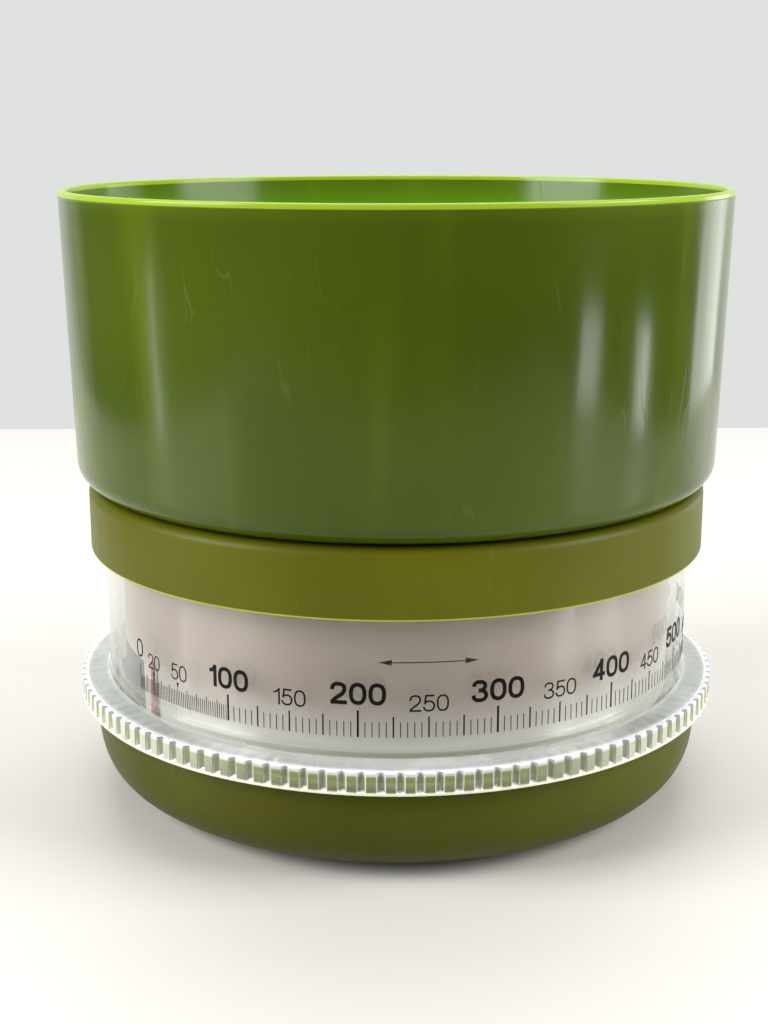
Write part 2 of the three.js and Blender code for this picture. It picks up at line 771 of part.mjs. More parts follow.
// Bracket that holds the spindle's top journal, in a group turned to the spindle's side.
const bracketGroup = new THREE.Group();
bracketGroup.rotation.z = spindleAzimuth * degree;
base.add(bracketGroup);
const bracketBottom = drumFloorTop + seat;
const topBearingRadius = 3;

function bracketGeometry() {
  const half = bracketWidth / 2;
  const [near, far] = bracketFoot;
  const body = join(
    block(near, far, -half, half, bracketBottom, bracketBottom + bracketThick),
    block(near, near + bracketThick, -half, half, bracketBottom, bracketTop),
    block(centreDistance - 5, near + bracketThick, -half, half, bracketTop - bracketThick, bracketTop),
  );
  const journalHole = disc(topBearingRadius + slip, bracketTop - bracketThick - clearOf, bracketTop + clearOf);
  moved(journalHole, [centreDistance, 0]);
  const footTop = bracketBottom + bracketThick;
  const holes = bracketScrews.map((spot) =>
    moved(disc(screwHole, bracketBottom - clearOf, footTop + clearOf, screwSides), spot));
  return cut(body, journalHole, ...holes);
}
add(bracketGroup, 'spindle_bracket', bracketGeometry(), steel);

bracketScrews.forEach((spot, i) => {
  const headSeat = bracketBottom + bracketThick + seat;
  const fastener = screw(headSeat, headSeat - drumFloor + 1, false);
  add(bracketGroup, `bracket_screw_${i + 1}`, moved(fastener, spot), steel);
});

const topBearing = turned([
  [topJournal + slip, bracketTop - bracketThick],
  [topBearingRadius, bracketTop - bracketThick],
  [topBearingRadius, bracketTop + seat],
  [topBearingRadius + bearingFlange, bracketTop + seat],
  [topBearingRadius + bearingFlange, bracketTop + seat + bearingLip],
  [topJournal + slip, bracketTop + seat + bearingLip],
], small);
add(bracketGroup, 'spindle_top_bearing', moved(topBearing, [centreDistance, 0]), nylon);

const floorBearing = turned([
  [journalRadius + slip, drumFloor],
  [bearingRadius, drumFloor],
  [bearingRadius, drumFloorTop + seat],
  [bearingRadius + bearingFlange, drumFloorTop + seat],
  [bearingRadius + bearingFlange, drumFloorTop + seat + bearingLip],
  [journalRadius + slip, drumFloorTop + seat + bearingLip],
], small);
add(bracketGroup, 'spindle_floor_bearing', moved(floorBearing, [centreDistance, 0]), nylon);

export default scale;
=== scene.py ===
import math

import bpy
from mathutils import Matrix, Vector


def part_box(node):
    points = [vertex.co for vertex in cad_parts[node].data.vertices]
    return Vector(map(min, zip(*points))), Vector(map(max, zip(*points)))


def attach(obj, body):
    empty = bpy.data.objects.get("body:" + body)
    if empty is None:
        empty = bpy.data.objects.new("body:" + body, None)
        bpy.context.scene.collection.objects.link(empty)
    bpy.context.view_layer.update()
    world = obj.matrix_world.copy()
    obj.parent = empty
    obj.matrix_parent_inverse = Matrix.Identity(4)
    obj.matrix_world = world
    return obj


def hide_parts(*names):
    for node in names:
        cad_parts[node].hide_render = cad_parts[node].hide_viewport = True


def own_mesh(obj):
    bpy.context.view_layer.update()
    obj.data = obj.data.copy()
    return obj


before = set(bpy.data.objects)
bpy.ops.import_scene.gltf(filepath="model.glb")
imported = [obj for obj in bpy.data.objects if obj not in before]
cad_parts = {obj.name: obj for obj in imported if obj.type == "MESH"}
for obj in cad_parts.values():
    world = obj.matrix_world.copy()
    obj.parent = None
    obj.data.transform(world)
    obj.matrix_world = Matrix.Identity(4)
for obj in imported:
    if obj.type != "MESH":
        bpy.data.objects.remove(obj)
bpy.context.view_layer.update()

MM = 0.001

# ---- sizes of the detail, in millimetres ----------------------------------------------------------------

SIDES = 192
ROUND = 6  # straight pieces in a rounded corner
SCREW_HOLE = 1.8  # radius

BOWL_WALL = 2.2
BOWL_LEAN = 2.0  # how far the wall leans out on its way up
BOWL_CORNER = (7.5, 6.4)  # across and up
BOWL_CURVE_STEPS = 12
BOWL_FOOT = 1.5
RIM_BAND = 1.4
RIM_STEP = 0.2

CAP_WALL = 2.0
DISC_INSET = 21.1  # from the platform's edge to its centring disc
DISC_RISE = 1.1
DISC_PLAY = 0.6  # between the disc and the bowl's foot ring

RING_WALL = 2.0
FLANGE_REACH = 7.45  # how far the grip flange stands out of the ring
FLANGE_HEIGHT = 5.5
SPIGOT = 3.2  # below the flange
FLANGE_FILLET = 1.4
LIP = 0.6
FLUTES = 120
FLUTE_STEPS = 8  # straight pieces in one flute and its land
FLUTE_DEPTH = 1.3
FLUTE_FLANK = 0.82  # share of the depth beside a flute's middle
FLUTE_START = 0.3  # degrees, middle of the first flute

BASE_WALL = 2.4
BASE_FLOOR = 2.2
BASE_FLAT = 56.0  # radius of the flat underside
BASE_CURVE = 3.4  # 2 is an ellipse, more is squarer
MOUTH_DEPTH = 5.7
MOUTH_PLAY = 0.3  # between the mouth and the ring
POST_SEAT = (28, 12, 1.6)  # outer radius, inner radius, rise

DRUM_WALL = 1.6
DRUM_FLOOR = 2.0
HUB_LAND = 1.9
PATCH_START = -151  # degrees
PATCH_SWEEP = 17
PATCH_STEPS = 18
PATCH_RISE = (1.2, 14)  # bottom and top above the drum's foot
PATCH_ROOT = 0.05  # how deep it sits in the drum

INK = 0.05
TICK_FOOT = 36.1
LONG_TICK = 42.5
MIDDLE_TICK = 41.1
TEN_TICK = 40.6
SHORT_TICK = 39.8
ZERO_ANGLE = -54.85  # degrees from the front, positive towards +X
GRAM = 0.24  # degrees
FULL_LOAD = 1250
FINE_RANGE = 100

# Figures of the dial: foot, top, width of one figure and of its stroke.
HUNDREDS = (43.8, 49.1, 3.98, 0.94)
FIFTIES = (42.3, 46.3, 2.8, 0.42)
FINE_NUMBERS = [("0", 0, (44.3, 48.9, 3.1, 0.46)), ("20", 20.5, (42.7, 46.5, 2.4, 0.36)),
                ("50", 51.5, (42.5, 46.5, 2.65, 0.36))]
NARROW_ONE = 0.64  # width of a 1 against the other figures
CURVE_STEPS = 3

ARROW_MIDDLE = 5.1  # degrees
ARROW_HEIGHT = 54.0
ARROW_LENGTH = 22.9
ARROW_HEAD = (3.1, 1.4)
ARROW_LINE = 0.22
WEDGE = (0.42, 1.5)  # half width and height

# Strokes of the figures, in a box one wide and one high.
FIGURES = {
    "0": [[(0.5, 1), (0.83, 0.92), (0.98, 0.7), (1, 0.5), (0.98, 0.3), (0.83, 0.08), (0.5, 0), (0.17, 0.08),
           (0.02, 0.3), (0, 0.5), (0.02, 0.7), (0.17, 0.92), (0.5, 1)]],
    "1": [[(1, 0), (1, 1)], [(0, 0.76), (0.45, 0.8), (0.75, 0.88), (0.95, 0.99)]],
    "2": [[(0.02, 0.68), (0.08, 0.86), (0.26, 0.98), (0.52, 1), (0.8, 0.96), (0.96, 0.82), (0.94, 0.66),
           (0.82, 0.5), (0.58, 0.36), (0.3, 0.22), (0.1, 0.09), (0.02, 0)], [(0.05, 0), (1, 0)]],
    "3": [[(0.03, 0.76), (0.1, 0.91), (0.28, 0.99), (0.5, 1), (0.74, 0.97), (0.9, 0.85), (0.89, 0.7),
           (0.76, 0.58), (0.58, 0.54), (0.4, 0.53)],
          [(0.45, 0.53), (0.66, 0.52), (0.88, 0.44), (1, 0.28), (0.94, 0.12), (0.76, 0.02), (0.5, 0),
           (0.24, 0.02), (0.07, 0.12), (0, 0.28)]],
    "4": [[(0.76, 0), (0.76, 1)], [(0, 0.25), (1, 0.25)], [(0.02, 0.27), (0.74, 0.99)]],
    "5": [[(0.2, 1), (0.9, 1)], [(0.2, 0.98), (0.1, 0.5)],
          [(0.08, 0.48), (0.26, 0.6), (0.52, 0.64), (0.8, 0.58), (0.97, 0.42), (0.98, 0.26), (0.86, 0.09),
           (0.62, 0.01), (0.4, 0), (0.16, 0.05), (0.03, 0.17), (0, 0.27)]],
    "6": [[(0.94, 0.78), (0.84, 0.93), (0.66, 1), (0.5, 1), (0.26, 0.94), (0.08, 0.76), (0, 0.48),
           (0.04, 0.22), (0.2, 0.05), (0.46, 0), (0.76, 0.04), (0.96, 0.19), (0.98, 0.36), (0.9, 0.52),
           (0.72, 0.61), (0.5, 0.63), (0.26, 0.58), (0.08, 0.44), (0.02, 0.36)]],
    "7": [[(0, 1), (1, 1)], [(1, 0.98), (0.7, 0.64), (0.5, 0.34), (0.4, 0)]],
    "8": [[(0.5, 1), (0.76, 0.96), (0.9, 0.84), (0.9, 0.7), (0.76, 0.58), (0.5, 0.54), (0.24, 0.58),
           (0.1, 0.7), (0.1, 0.84), (0.24, 0.96), (0.5, 1)],
          [(0.5, 0.54), (0.82, 0.49), (1, 0.34), (0.98, 0.18), (0.82, 0.04), (0.5, 0), (0.18, 0.04),
           (0.02, 0.18), (0, 0.34), (0.18, 0.49), (0.5, 0.54)]],
}
FIGURES["9"] = [[(1 - across, 1 - up) for across, up in run] for run in FIGURES["6"]]


# ---- modelling ------------------------------------------------------------------------------------------

def deselect():
    bpy.ops.object.select_all(action="DESELECT")


def pick(piece):
    """Makes a piece the only one that is selected and worked on."""
    deselect()
    piece.select_set(True)
    bpy.context.view_layer.objects.active = piece


def edit(action="SELECT"):
    bpy.ops.object.mode_set(mode="EDIT")
    bpy.ops.mesh.select_all(action=action)


def done():
    bpy.ops.object.mode_set(mode="OBJECT")


def rounded(corners):
    """A section outline from (radius, height, rounding) corners, in millimetres."""
    outline = []
    for i, (radius, height, rounding) in enumerate(corners):
        if not rounding:
            outline.append((radius, height))
            continue
        before = corners[i - 1]
        after = corners[(i + 1) % len(corners)]
        into = math.atan2(height - before[1], radius - before[0])
        out = math.atan2(after[1] - height, after[0] - radius)
        turn = (out - into + math.pi) % (2 * math.pi) - math.pi
        side = math.copysign(1, turn)
        back = rounding * math.tan(abs(turn) / 2)
        centre = (
            radius - back * math.cos(into) - side * rounding * math.sin(into),
            height - back * math.sin(into) + side * rounding * math.cos(into),
        )
        steps = max(2, round(ROUND * abs(turn) / (math.pi / 2)))
        for step in range(steps + 1):
            angle = into - side * math.pi / 2 + turn * step / steps
            outline.append((centre[0] + rounding * math.cos(angle), centre[1] + rounding * math.sin(angle)))
    return outline


def quarter(centre_r, centre_z, reach_r, reach_z, steps, exponent=2.0):
    """Quarter of an ellipse, or of a squarer curve, from the side down to the low point."""
    points = []
    for step in range(steps + 1):
        angle = step / steps * math.pi / 2
        out = max(math.cos(angle), 0) ** (2 / exponent)
        down = math.sin(angle) ** (2 / exponent)
        points.append((centre_r + reach_r * out, centre_z - reach_z * down))
    return points


def open_at_axis(piece):
    """Removes the edge that closes a section along the axis."""
    bpy.ops.object.mode_set(mode="EDIT")
    bpy.ops.mesh.select_mode(type="EDGE")
    done()
    for vertex in piece.data.vertices:
        vertex.select = False
    for edge in piece.data.edges:
        edge.select = set(edge.vertices) == {0, len(piece.data.vertices) - 1}
    bpy.ops.object.mode_set(mode="EDIT")
    bpy.ops.mesh.delete(type="EDGE")
    bpy.ops.mesh.select_mode(type="VERT")
    done()


def turned(section, steps=SIDES, start=0.0, sweep=360.0):
    """Spins a closed section round the axis. One that starts and ends on the axis stays open there."""
    deselect()
    bpy.ops.mesh.primitive_circle_add(vertices=len(section), radius=MM)
    piece = bpy.context.object
    ahead = (math.cos(math.radians(start)), math.sin(math.radians(start)))
    for corner, (radius, height) in zip(piece.data.vertices, section):
        corner.co = (radius * MM * ahead[0], radius * MM * ahead[1], height * MM)
    if section[0][0] == 0 and section[-1][0] == 0:
        open_at_axis(piece)
    whole = sweep == 360
    edit()
    if not whole:
        bpy.ops.mesh.edge_face_add()
        bpy.ops.mesh.select_all(action="SELECT")
    bpy.ops.mesh.spin(steps=steps, angle=math.radians(sweep), center=(0, 0, 0), axis=(0, 0, 1))
    bpy.ops.mesh.select_all(action="SELECT")
    if whole:
        bpy.ops.mesh.remove_doubles(threshold=1e-6)
        bpy.ops.mesh.select_all(action="SELECT")
    bpy.ops.mesh.normals_make_consistent(inside=False)
    done()
    return piece


def cylinder(radius, bottom, top, spot=(0, 0), sides=48):
    """A plain rod, used to cut or build up other pieces."""
    deselect()
    bpy.ops.mesh.primitive_cylinder_add(
        vertices=sides, radius=radius * MM, depth=(top - bottom) * MM,
        location=(spot[0] * MM, spot[1] * MM, (bottom + top) / 2 * MM))
    bpy.ops.object.transform_apply(location=True, rotation=True, scale=True)
    return bpy.context.object


def combine(piece, tools, operation):
    """Cuts tools out of a piece, or joins them to it, and removes them."""
    for tool in tools:
        pick(piece)
        modifier = piece.modifiers.new("combine", "BOOLEAN")
        modifier.operation = operation
        modifier.solver = "EXACT"
        modifier.object = tool
        bpy.ops.object.modifier_apply(modifier=modifier.name)
        bpy.data.objects.remove(tool)
    return piece


def merge(pieces):
    """Makes several pieces one mesh."""
    deselect()
    for piece in pieces:
        piece.select_set(True)
    bpy.context.view_layer.objects.active = pieces[0]
    bpy.ops.object.join()
    return bpy.context.object


def finish_piece(piece, name, body, finish, replaced=(), angle=30):
    """Names, shades and coats a piece, and gives it to the body it moves with."""
    piece.name = name
    piece.data.name = name
    pick(piece)
    bpy.ops.object.shade_smooth_by_angle(angle=math.radians(angle))
    piece.data.materials.clear()
    piece.data.materials.append(finish)
    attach(piece, body)
    if replaced:
        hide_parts(*replaced)
    return piece


def size_of(node):
    """Radius reached, bottom and top of a node round the axis, in millimetres."""
    low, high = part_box(node)
    return max(high.x, high.y, -low.x, -low.y) / MM, low.z / MM, high.z / MM


def spot_of(node):
    """Middle and half width of a small round node, in millimetres."""
    low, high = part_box(node)
    return ((low.x + high.x) / 2 / MM, (low.y + high.y) / 2 / MM), (high.x - low.x) / 2 / MM


# ---- finishes -------------------------------------------------------------------------------------------

class Value:
    """A number that changes over a surface, so that node maths is written as arithmetic."""

    def __init__(self, finish, socket):
        self.finish = finish
        self.socket = socket

    def math(self, operation, first, second=0.0):
        return self.finish.node("ShaderNodeMath", {"operation": operation}, {0: first, 1: second})

    def __add__(self, other):
        return self.math("ADD", self, other)

    def __radd__(self, other):
        return self.math("ADD", other, self)

    def __sub__(self, other):
        return self.math("SUBTRACT", self, other)

    def __rsub__(self, other):
        return self.math("SUBTRACT", other, self)

    def __mul__(self, other):
        return self.math("MULTIPLY", self, other)

    def __rmul__(self, other):
        return self.math("MULTIPLY", other, self)

    def __pow__(self, other):
        return self.math("POWER", self, other)

    def __abs__(self):
        return self.math("ABSOLUTE", self)


def srgb(red, green, blue):
    """A screen colour as the linear colour that a shader takes."""
    def linear(level):
        share = level / 255
        return share / 12.92 if share <= 0.04045 else ((share + 0.055) / 1.055) ** 2.4
    return (linear(red), linear(green), linear(blue), 1.0)


class Finish:
    """The nodes of a material on the piece's own coordinates, or of the room round it."""

    def __init__(self, owner, coordinates="Object"):
        self.owner = owner
        owner.use_nodes = True
        self.tree = owner.node_tree
        self.tree.nodes.clear()
        self.place = self.node("ShaderNodeTexCoord", out=coordinates)

    def node(self, kind, settings=(), inputs=(), out=0):
        """Adds a node: its settings first, then the values or links of its sockets."""
        made = self.tree.nodes.new(kind)
        for key, value in dict(settings).items():
            if key == "stops":
                for stop, (position, colour) in zip(made.color_ramp.elements, value):
                    stop.position = position
                    stop.color = colour
            else:
                setattr(made, key, value)
        for key, value in dict(inputs).items():
            if isinstance(value, Value):
                self.tree.links.new(value.socket, made.inputs[key])
            else:
                made.inputs[key].default_value = value
        return Value(self, made.outputs[out]) if made.outputs else None

    def axis(self, name):
        """The X, Y or Z place on the piece, in metres."""
        return self.node("ShaderNodeSeparateXYZ", {}, {0: self.place}, out=name)

    def from_axis(self):
        """Distance from the scale's upright axis, in metres."""
        across = self.axis("X")
        deep = self.axis("Y")
        return (across * across + deep * deep) ** 0.5

    def stretched(self, scale, turn=(0, 0, 0)):
        """The piece's coordinates, scaled by axis and turned."""
        return self.node("ShaderNodeMapping", {}, {"Vector": self.place, "Scale": scale, "Rotation": turn})

    def noise(self, scale, detail=2.0, roughness=0.5, place=None):
        return self.node("ShaderNodeTexNoise", {}, {
            "Vector": place or self.place, "Scale": scale, "Detail": detail, "Roughness": roughness})

    def between(self, value, low, high, first=0.0, last=1.0):
        """Runs from first to last as a value runs from low to high."""
        return self.node("ShaderNodeMapRange", {"interpolation_type": "SMOOTHSTEP"}, {
            "Value": value, "From Min": low, "From Max": high, "To Min": first, "To Max": last})

    def mix(self, share, first, second):
        """Runs between two colours."""
        return self.node("ShaderNodeMix", {"data_type": "RGBA"}, {0: share, 6: first, 7: second}, out=2)

    def bump(self, height, depth, strength=1.0):
        return self.node("ShaderNodeBump", {}, {"Height": height, "Distance": depth, "Strength": strength})

    def scratches(self, scale, turn, width):
        """Thin hairlines along one direction: 1 on a line, 0 off it."""
        along = self.stretched((1, 1, 0.12), turn)
        bend = self.noise(scale, 1.0, 0.4, along)
        line = abs(bend - 0.5)
        patchy = self.between(self.noise(scale * 0.35, 1.0, 0.5), 0.5, 0.66)
        return self.between(line, 0.0, width, 1.0, 0.0) * patchy

    def ended(self, values, shader="ShaderNodeBsdfPrincipled", output="ShaderNodeOutputMaterial"):
        """Ends the nodes in one shader, and gives back what they belong to."""
        self.node(output, {}, {"Surface": self.node(shader, {}, values)})
        return self.owner


def bowl_green():
    """Deep green with flow marks and a few hairlines; the inside, the band below the rim and the rim's top
    edge are painted lighter, as painted light through the thin plastic.
    """
    finish = Finish(bpy.data.materials.new("glossy green plastic"))
    reach, low, high = size_of("bowl")
    height = finish.axis("Z")
    radius = finish.from_axis()
    cloud = finish.noise(14.0, 2.0)
    flow = finish.noise(60.0, 2.0, 0.5, finish.stretched((1, 1, 0.10)))
    lines = finish.scratches(150.0, (0.5, 0.3, 0.2), 0.005)
    lines = lines + finish.scratches(120.0, (-0.7, 0.4, 1.2), 0.004)
    dust = finish.between(finish.noise(1100.0, 2.0), 0.66, 0.78)
    lip_painted_light = finish.between(height, (high - 5.0) * MM, (high - RIM_BAND) * MM)
    edge = finish.between(height, (high - 1.35) * MM, (high - 1.1) * MM)
    narrowing = finish.between(height, (low + 3.2) * MM, (low + 8) * MM, 2 * MM, 0.0)
    inside = finish.between(radius + narrowing, (reach - 2.6) * MM, (reach - 2.1) * MM, 1.0, 0.0)
    # painted light: the inside above the floor is painted lighter, for the light falling into the bowl
    painted_lit_inside = finish.between(height, (low + 3.2) * MM, (low + 3.6) * MM) * inside
    colour = finish.mix(finish.between(cloud, 0.35, 0.68), srgb(57, 73, 4), srgb(65, 81, 6))
    colour = finish.mix(finish.between(flow, 0.5, 0.75) * 0.5, colour, srgb(88, 104, 14))
    colour = finish.mix(painted_lit_inside * 0.9, colour, srgb(98, 146, 16))
    # painted light: the band below the rim is painted lighter, for light coming through the thin rim
    colour = finish.mix(lip_painted_light * 0.15, colour, srgb(104, 132, 22))
    # painted highlight: a bright line along the rim's top edge
    colour = finish.mix(edge * 0.9, colour, srgb(152, 180, 40))
    colour = finish.mix(lines * 0.07 + dust * 0.04, colour, srgb(150, 168, 96))
    rough = 0.14 + finish.between(cloud, 0.4, 0.7) * 0.05 + lines * 0.08 + dust * 0.12
    normal = finish.bump(flow * 0.7 + finish.noise(24.0, 1.0) * 0.9 - lines * 0.04, 0.0006, 0.55)
    fine = finish.node("ShaderNodeBump", {}, {
        "Height": finish.noise(1500.0, 2.0), "Distance": 0.00002, "Strength": 0.4, "Normal": normal})
    return finish.ended({
        "Base Color": colour, "Roughness": rough, "IOR": 1.38, "Specular IOR Level": 0.38, "Normal": fine})


# Colour scales of the olive plastic: the base is the same plastic as the platform, painted darker as shade
# under the flange.
PLATFORM_PAINTED_SHADE_TONE = 1.0
BASE_PAINTED_SHADE_TONE = 0.8
NO_SHARP_EDGE = -5.0  # below the piece


def olive_plastic(name, painted_shade_tone, sharp_edge):
    """Satin olive with a fine moulded grain and a bright line painted as a highlight along a sharp edge of
    the given height; the painted shade tone darkens it.
    """
    finish = Finish(bpy.data.materials.new(name))
    height = finish.axis("Z")
    cloud = finish.noise(18.0, 2.0)
    grain = finish.noise(2600.0, 3.0, 0.6)
    rub = finish.scratches(160.0, (0.3, 1.1, 0.4), 0.006)
    smear = finish.noise(40.0, 3.0, 0.6, finish.stretched((1, 1, 0.3)))
    edge = finish.between(height, (sharp_edge + 0.3) * MM, (sharp_edge + 0.65) * MM, 1.0, 0.0)
    dark = srgb(80 * painted_shade_tone, 82 * painted_shade_tone, 4)
    light = srgb(87 * painted_shade_tone, 90 * painted_shade_tone, 6)
    colour = finish.mix(finish.between(cloud, 0.35, 0.68), dark, light)
    colour = finish.mix(finish.between(smear, 0.5, 0.75) * 0.35, colour, srgb(98 * painted_shade_tone, 102 * painted_shade_tone, 10))
    colour = finish.mix(rub * 0.06, colour, srgb(150, 156, 90))
    # painted highlight: a bright line along the sharp edge, where it catches the light
    colour = finish.mix(edge * 0.9, colour, srgb(182, 186, 62))
    rough = 0.38 + finish.between(smear, 0.4, 0.7) * 0.08 + finish.between(grain, 0.4, 0.7) * 0.05
    normal = finish.bump(grain * 0.7 + smear * 0.4 - rub * 0.1, 0.00005, 0.6)
    return finish.ended({
        "Base Color": colour, "Roughness": rough, "IOR": 1.38, "Specular IOR Level": 0.2, "Normal": normal})


def flange_masks(finish, facing_up):
    """Where the parts of the ring's grip flange are: 1 on them, 0 off them."""
    reach, bottom = size_of("scale_ring")[:2]
    crown = bottom + SPIGOT + FLANGE_HEIGHT
    height = finish.axis("Z")
    radius = finish.from_axis()
    flange = finish.between(height, (crown + 1.2) * MM, (crown + 2.2) * MM, 1.0, 0.0)
    rim = finish.between(radius, (reach - 2.6) * MM, (reach - 2.2) * MM) * flange
    groove = finish.between(radius, (reach - 0.15) * MM, (reach - 0.03) * MM, 1.0, 0.0) * rim
    return {
        "flange": flange,
        "rim": rim,
        "groove": groove,
        "groove side": finish.between(radius, (reach - 0.7) * MM, (reach - 0.3) * MM) * groove,
        "dot_painted_glint": finish.between(height, (bottom + 5.0) * MM, (bottom + 5.4) * MM, 1.0, 0.0) * rim * facing_up,
        "edge": finish.between(height, (crown - 1.1) * MM, (crown - 0.5) * MM) * rim,
        "lip_painted_light": finish.between(height, (bottom + 3.85) * MM, (bottom + 4.15) * MM, 1.0, 0.0) * rim,
        "climb": finish.between(height, (bottom + 3.8) * MM, (crown - 0.6) * MM),
        "border_painted_highlight": finish.between(radius, (reach - 1.9) * MM, (reach - 1.4) * MM),
        "haze": finish.between(height, (crown + 0.5) * MM, (crown + 6.5) * MM, 0.3, 0.0) * (1 - flange),
    }


def flange_colour(finish, masks, facing, facing_up, cloud):
    """Olive painted on the flange's edge as if seen through it, darker towards the bottom as painted shade;
    painted highlights on the grooves, the top band and each groove's foot; the top milky and painted
    lighter.
    """
    climb = masks["climb"]
    groove = masks["groove"]
    edge = masks["edge"]
    # painted reflection of the olive base seen through the clear face, with painted shade towards the bottom
    face = finish.mix(climb, srgb(92, 98, 52), srgb(138, 147, 84))
    # painted highlights: light lines at the groove sides, and the grooves painted lighter
    face = finish.mix(masks["groove side"] * (0.75 - climb * 0.4), face, srgb(228, 232, 206))
    face = finish.mix(groove * 0.45, face, srgb(202, 207, 178))
    # painted highlight on the top band of the face, and painted shade on the notch tops
    face = finish.mix(edge, face, srgb(206, 209, 211))
    face = finish.mix(edge * groove, face, srgb(172, 175, 184))
    # painted highlight: a bright line where each groove ends at the lip
    face = finish.mix(masks["lip_painted_light"], face, srgb(226, 231, 200))
    # painted sheen: the face is painted whiter towards grazing view
    face = finish.mix(finish.between(facing, 0.1, 0.5) * 0.75, face, srgb(214, 216, 204))
    # painted light: faces that look up are painted milky white, brighter near the outer border as a painted
    # highlight
    top = finish.mix(cloud, srgb(178, 182, 178), srgb(192, 196, 193))
    top = finish.mix(masks["border_painted_highlight"] * 0.8, top, srgb(236, 238, 240))
    face = finish.mix(facing_up, face, top)
    # painted glint: a white dot at each groove's foot, where its floor faces up
    return finish.mix(masks["dot_painted_glint"], face, srgb(254, 255, 246))


def clear_plastic():
    """Light goes straight through the thin walls under a gloss; the flange is milky and painted lighter
    where it faces up, as painted light.
    """
    finish = Finish(bpy.data.materials.new("clear plastic"))
    wave = finish.noise(50.0, 2.0, 0.5, finish.stretched((1, 1, 0.25)))
    lines = finish.scratches(110.0, (0.2, 0.5, 0.1), 0.006)
    cloud = finish.between(finish.noise(120.0, 3.0), 0.4, 0.7)
    facing = finish.node("ShaderNodeLayerWeight", {}, {"Blend": 0.5}, out="Facing")
    normal = finish.node("ShaderNodeNewGeometry", out="Normal")
    upward = finish.node("ShaderNodeSeparateXYZ", {}, {0: normal}, out="Z")
    facing_up = finish.between(upward, 0.45, 0.8)
    masks = flange_masks(finish, facing_up)
    flange = masks["flange"]
    rim = masks["rim"]
    colour = finish.mix(flange, srgb(226, 230, 226), flange_colour(finish, masks, facing, facing_up, cloud))
    # opacity for the painted flange colours, raised where the painted highlights and the painted glint sit
    solid = facing_up * 0.6 + rim * (0.72 + masks["edge"] * 0.1 + masks["lip_painted_light"] * 0.2) - facing_up * rim * 0.4
    solid = solid + masks["dot_painted_glint"] * 0.4
    sheen = 0.05 + 0.75 * facing ** 3.2 + lines * 0.03
    alpha = sheen + masks["haze"] + flange * (solid * 0.95 + cloud * 0.05)
    rough = 0.07 + finish.between(wave, 0.45, 0.7) * 0.05 + lines * 0.3 + flange * facing_up * 0.2
    metal = (0.85 - flange * 0.85) * (1 - facing ** 2.0 * 0.5)
    return finish.ended({
        "Base Color": colour, "Roughness": rough, "Metallic": metal, "Alpha": alpha, "IOR": 1.5,
        "Normal": finish.bump(wave + lines * 0.1, 0.00003, 0.1)})


def black_ink():
    finish = Finish(bpy.data.materials.new("black dial ink"))
    worn = finish.noise(700.0, 4.0, 0.7)
    colour = finish.mix(finish.between(worn, 0.5, 0.8), srgb(12, 11, 12), srgb(30, 29, 29))
    rough = 0.45 + finish.between(worn, 0.4, 0.7) * 0.15
    return finish.ended({
        "Base Color": colour, "Roughness": rough, "Specular IOR Level": 0.1,
        "Normal": finish.bump(worn, 0.00001, 0.4)})


def white_plastic():
    finish = Finish(bpy.data.materials.new("off white drum plastic with painted shade"))
    cloud = finish.noise(22.0, 3.0)
    grain = finish.noise(2200.0, 2.0)
    foot = finish.between(finish.axis("Z"), 0.030, 0.046, 1.0, 0.0)
    # painted shade: the off white drum is given a darker, warmer colour for the shade it sits in under the
    # platform
    colour = finish.mix(finish.between(cloud, 0.35, 0.7), srgb(138, 124, 112), srgb(148, 134, 122))
    # painted light: the drum is painted lighter towards its foot, for light thrown up from the flange
    colour = finish.mix(foot * 0.9, colour, srgb(204, 202, 196))
    rough = 0.5 + finish.between(grain, 0.4, 0.7) * 0.1
    return finish.ended({
        "Base Color": colour, "Roughness": rough, "Normal": finish.bump(grain, 0.00001, 0.4)})


def grey_patch():
    finish = Finish(bpy.data.materials.new("dark grey drum patch"))
    worn = finish.noise(500.0, 4.0, 0.7)
    colour = finish.mix(finish.between(worn, 0.4, 0.75), srgb(44, 42, 40), srgb(66, 63, 59))
    return finish.ended({
        "Base Color": colour, "Roughness": 0.5 + finish.between(worn, 0.4, 0.7) * 0.2,
        "Normal": finish.bump(worn, 0.00001, 0.4)})


def red_plastic():
    finish = Finish(bpy.data.materials.new("red pointer plastic"))
    cloud = finish.noise(60.0, 2.0)
    grain = finish.noise(1800.0, 2.0)
    colour = finish.mix(finish.between(cloud, 0.35, 0.7), srgb(140, 20, 20), srgb(158, 30, 28))
    return finish.ended({
        "Base Color": colour, "Roughness": 0.35 + finish.between(grain, 0.4, 0.7) * 0.1,
        "Normal": finish.bump(grain, 0.00002, 0.4)})


def nylon():
    finish = Finish(bpy.data.materials.new("natural nylon"))
    cloud = finish.noise(80.0, 2.0)
    grain = finish.noise(1600.0, 3.0)
    colour = finish.mix(finish.between(cloud, 0.35, 0.7), srgb(214, 207, 188), srgb(226, 220, 203))
    return finish.ended({
        "Base Color": colour, "Roughness": 0.45 + finish.between(grain, 0.4, 0.7) * 0.12,
        "Normal": finish.bump(grain, 0.00003, 0.5)})


def rubber():
    finish = Finish(bpy.data.materials.new("black rubber"))
    cloud = finish.noise(120.0, 3.0)
    grain = finish.noise(1400.0, 4.0, 0.7)
    dust = finish.between(finish.noise(260.0, 4.0, 0.65), 0.5, 0.75)
    colour = finish.mix(finish.between(cloud, 0.35, 0.7), srgb(34, 34, 32), srgb(46, 45, 42))
    colour = finish.mix(dust * 0.4, colour, srgb(92, 88, 80))
    return finish.ended({
        "Base Color": colour, "Roughness": 0.78 + dust * 0.15, "Normal": finish.bump(grain, 0.00008, 0.6)})


